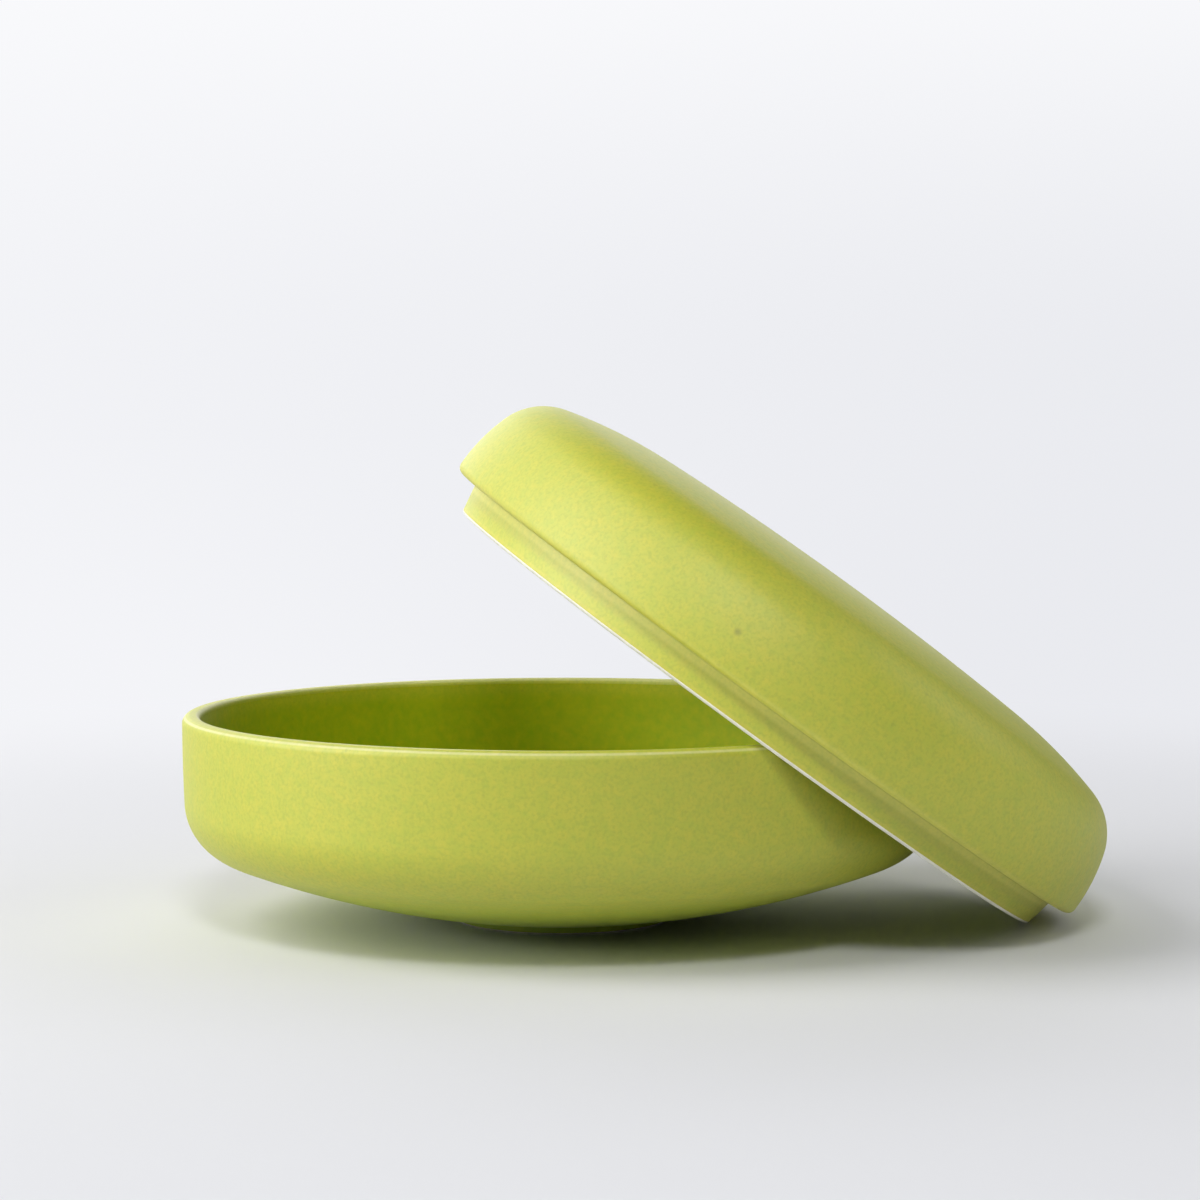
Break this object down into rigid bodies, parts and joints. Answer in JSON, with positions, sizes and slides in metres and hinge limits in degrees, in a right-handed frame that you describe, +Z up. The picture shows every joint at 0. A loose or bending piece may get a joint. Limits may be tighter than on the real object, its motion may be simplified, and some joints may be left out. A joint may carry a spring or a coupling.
{
  "type": "lidded bowl",
  "caption": "Low round lidded bowl of glazed porcelain: straight rim, curved belly, small foot ring, and a flush domed lid with a locating flange, leaning on the rim.",
  "frame": {"origin": "middle of the underside of the box around bowl and leaning lid, on the surface that they stand on", "axes": "+Z up, +X from the bowl toward the lid's lower edge, so the lean lies in the XZ plane; -Y faces the viewer of the picture"},
  "size_m": [0.195, 0.16, 0.1088],
  "materials": {
    "bowl_glaze": "satin lime glaze over white porcelain",
    "lid_glaze": "satin lime glaze over white porcelain"
  },
  "bodies": {
    "bowl": {"bowl": "bowl_glaze"},
    "lid": {"lid": "lid_glaze"}
  },
  "joints": [
    {"name": "lid_lift", "type": "slide", "parent": "bowl", "child": "lid", "axis": [0, 0, 1], "range_m": [0, 0.08]}
  ]
}
